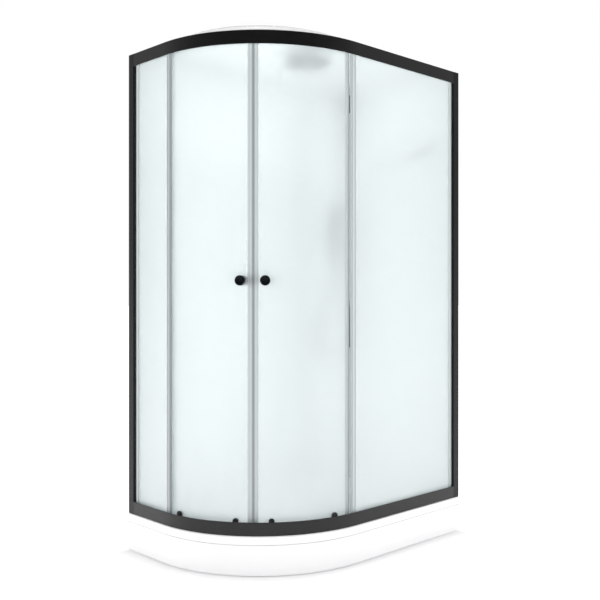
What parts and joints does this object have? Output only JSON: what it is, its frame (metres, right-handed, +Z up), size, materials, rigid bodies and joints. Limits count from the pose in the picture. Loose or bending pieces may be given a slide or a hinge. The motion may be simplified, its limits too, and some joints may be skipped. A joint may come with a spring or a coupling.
{
  "type": "shower cabin",
  "caption": "Asymmetric quadrant shower cabin with low tray, black frame, frosted fixed panels, curved sliding doors with knobs, roof, rain head and hand shower.",
  "frame": {"origin": "on the floor, in the middle of the tray's rectangle", "axes": "+Z up; the long fixed panel faces -Y, the short fixed panel faces -X, the curved doors face the corner between them"},
  "size_m": [1.2, 0.8, 2.105],
  "materials": {
    "white_acrylic": "glossy white acrylic, sheet moulded",
    "white_panel": "satin white wall panel",
    "black_aluminium": "satin black powder coat on aluminium",
    "white_aluminium": "white powder coat on aluminium",
    "frosted_glass": "satin frosted tempered glass",
    "clear_seal": "soft translucent vinyl",
    "black_fitting": "satin black lacquer",
    "black_plastic": "moulded black acetal",
    "wheel_nylon": "white nylon",
    "zinc_steel": "zinc-plated steel",
    "foot_rubber": "black rubber",
    "grey_pipe": "white polypropylene",
    "chrome": "polished chrome",
    "brass": "raw cast brass",
    "hose_black": "smooth black hose",
    "feed_tube": "white feed tube"
  },
  "bodies": {
    "cabin": {"tray": "white_acrylic", "front_apron": "white_acrylic", "tray_bar_front": "zinc_steel", "tray_bar_rear": "zinc_steel", "leg_studs": "zinc_steel", "leg_nuts": "zinc_steel", "leg_feet": "foot_rubber", "drain_body": "grey_pipe", "siphon_trap": "grey_pipe", "rear_wall_long": "white_panel", "rear_wall_short": "white_panel", "corner_column": "white_panel", "roof": "white_acrylic", "roof_ring": "white_panel", "left_wall_profile": "black_aluminium", "right_wall_profile": "black_aluminium", "top_rail": "black_aluminium", "bottom_rail": "black_aluminium", "upper_track": "white_aluminium", "lower_track": "white_aluminium", "fixed_glass_left": "frosted_glass", "fixed_glass_right": "frosted_glass", "fixed_glass_seals": "clear_seal", "profile_gaskets": "clear_seal", "frame_screws": "zinc_steel", "shelf": "white_acrylic", "shelf_brackets": "chrome", "mixer_plate": "black_fitting", "mixer_valve_body": "brass", "hose_outlet": "black_fitting", "shower_hose": "hose_black", "hose_nuts": "black_fitting", "hand_shower": "black_fitting", "hand_shower_holder": "black_fitting", "rain_supply_tube": "feed_tube", "rain_head_nipple": "chrome"},
    "rain_head": {"rain_head": "black_fitting"},
    "temperature_knob": {"temperature_knob": "black_fitting"},
    "diverter_knob": {"diverter_knob": "black_fitting"},
    "drain_cover": {"drain_cover": "chrome"},
    "left_door": {"left_door_glass": "frosted_glass", "left_door_seals": "clear_seal", "left_door_knobs": "black_fitting", "left_roller_hangers": "black_plastic"},
    "left_outer_upper_wheel": {"left_outer_upper_wheel": "wheel_nylon"},
    "left_outer_lower_wheel": {"left_outer_lower_wheel": "wheel_nylon"},
    "left_outer_release_button": {"left_outer_release_button": "black_plastic"},
    "left_inner_upper_wheel": {"left_inner_upper_wheel": "wheel_nylon"},
    "left_inner_lower_wheel": {"left_inner_lower_wheel": "wheel_nylon"},
    "left_inner_release_button": {"left_inner_release_button": "black_plastic"},
    "right_door": {"right_door_glass": "frosted_glass", "right_door_seals": "clear_seal", "right_door_knobs": "black_fitting", "right_roller_hangers": "black_plastic"},
    "right_outer_upper_wheel": {"right_outer_upper_wheel": "wheel_nylon"},
    "right_outer_lower_wheel": {"right_outer_lower_wheel": "wheel_nylon"},
    "right_outer_release_button": {"right_outer_release_button": "black_plastic"},
    "right_inner_upper_wheel": {"right_inner_upper_wheel": "wheel_nylon"},
    "right_inner_lower_wheel": {"right_inner_lower_wheel": "wheel_nylon"},
    "right_inner_release_button": {"right_inner_release_button": "black_plastic"}
  },
  "joints": [
    {"name": "left_door_slide", "type": "hinge", "parent": "cabin", "child": "left_door", "pos_m": [-0.065, 0.135, 1.1], "axis": [0, 0, -1], "range_deg": [0, 24]},
    {"name": "left_outer_upper_wheel_spin", "type": "hinge", "parent": "left_door", "child": "left_outer_upper_wheel", "pos_m": [-0.54413, 0.08726, 2.0203], "axis": [-0.9951, -0.0991, 0], "continuous": true},
    {"name": "left_outer_lower_wheel_spin", "type": "hinge", "parent": "left_door", "child": "left_outer_lower_wheel", "pos_m": [-0.54413, 0.08726, 0.1697], "axis": [-0.9951, -0.0991, 0], "continuous": true},
    {"name": "left_outer_release_button_press", "type": "slide", "parent": "left_door", "child": "left_outer_release_button", "axis": [0.9951, 0.0991, 0], "range_m": [0, 0.003], "stiffness_N_per_m": 900},
    {"name": "left_inner_upper_wheel_spin", "type": "hinge", "parent": "left_door", "child": "left_inner_upper_wheel", "pos_m": [-0.45894, -0.14186, 2.0203], "axis": [-0.8181, -0.575, 0], "continuous": true},
    {"name": "left_inner_lower_wheel_spin", "type": "hinge", "parent": "left_door", "child": "left_inner_lower_wheel", "pos_m": [-0.45894, -0.14186, 0.1697], "axis": [-0.8181, -0.575, 0], "continuous": true},
    {"name": "left_inner_release_button_press", "type": "slide", "parent": "left_door", "child": "left_inner_release_button", "axis": [0.8181, 0.575, 0], "range_m": [0, 0.003], "stiffness_N_per_m": 900},
    {"name": "right_door_slide", "type": "hinge", "parent": "cabin", "child": "right_door", "pos_m": [-0.065, 0.135, 1.1], "axis": [0, 0, 1], "range_deg": [0, 28]},
    {"name": "right_outer_upper_wheel_spin", "type": "hinge", "parent": "right_door", "child": "right_outer_upper_wheel", "pos_m": [-0.14522, -0.33977, 2.0203], "axis": [-0.1666, -0.986, 0], "continuous": true},
    {"name": "right_outer_lower_wheel_spin", "type": "hinge", "parent": "right_door", "child": "right_outer_lower_wheel", "pos_m": [-0.14522, -0.33977, 0.1697], "axis": [-0.1666, -0.986, 0], "continuous": true},
    {"name": "right_outer_release_button_press", "type": "slide", "parent": "right_door", "child": "right_outer_release_button", "axis": [0.1666, 0.986, 0], "range_m": [0, 0.003], "stiffness_N_per_m": 900},
    {"name": "right_inner_upper_wheel_spin", "type": "hinge", "parent": "right_door", "child": "right_inner_upper_wheel", "pos_m": [-0.369, -0.2384, 2.0203], "axis": [-0.6314, -0.7755, 0], "continuous": true},
    {"name": "right_inner_lower_wheel_spin", "type": "hinge", "parent": "right_door", "child": "right_inner_lower_wheel", "pos_m": [-0.369, -0.2384, 0.1697], "axis": [-0.6314, -0.7755, 0], "continuous": true},
    {"name": "right_inner_release_button_press", "type": "slide", "parent": "right_door", "child": "right_inner_release_button", "axis": [0.6314, 0.7755, 0], "range_m": [0, 0.003], "stiffness_N_per_m": 900},
    {"name": "temperature_turn", "type": "hinge", "parent": "cabin", "child": "temperature_knob", "pos_m": [0.49768, 0.26939, 1.345], "axis": [-0.7071, -0.7071, 0], "range_deg": [-60, 60]},
    {"name": "diverter_turn", "type": "hinge", "parent": "cabin", "child": "diverter_knob", "pos_m": [0.49768, 0.26939, 1.44], "axis": [-0.7071, -0.7071, 0], "range_deg": [-90, 90]},
    {"name": "rain_head_tilt", "type": "hinge", "parent": "cabin", "child": "rain_head", "pos_m": [0, -0.045, 2.06], "axis": [1, 0, 0], "range_deg": [-12, 12]},
    {"name": "drain_cover_lift", "type": "slide", "parent": "cabin", "child": "drain_cover", "axis": [0, 0, 1], "range_m": [0, 0.08]}
  ],
  "couplings": [
    {"joint": "left_outer_upper_wheel_spin", "follows": "left_door_slide", "ratio": 48.15},
    {"joint": "left_outer_lower_wheel_spin", "follows": "left_door_slide", "ratio": -48.15},
    {"joint": "left_inner_upper_wheel_spin", "follows": "left_door_slide", "ratio": 48.15},
    {"joint": "left_inner_lower_wheel_spin", "follows": "left_door_slide", "ratio": -48.15},
    {"joint": "right_outer_upper_wheel_spin", "follows": "right_door_slide", "ratio": -48.15},
    {"joint": "right_outer_lower_wheel_spin", "follows": "right_door_slide", "ratio": 48.15},
    {"joint": "right_inner_upper_wheel_spin", "follows": "right_door_slide", "ratio": -48.15},
    {"joint": "right_inner_lower_wheel_spin", "follows": "right_door_slide", "ratio": 48.15}
  ]
}
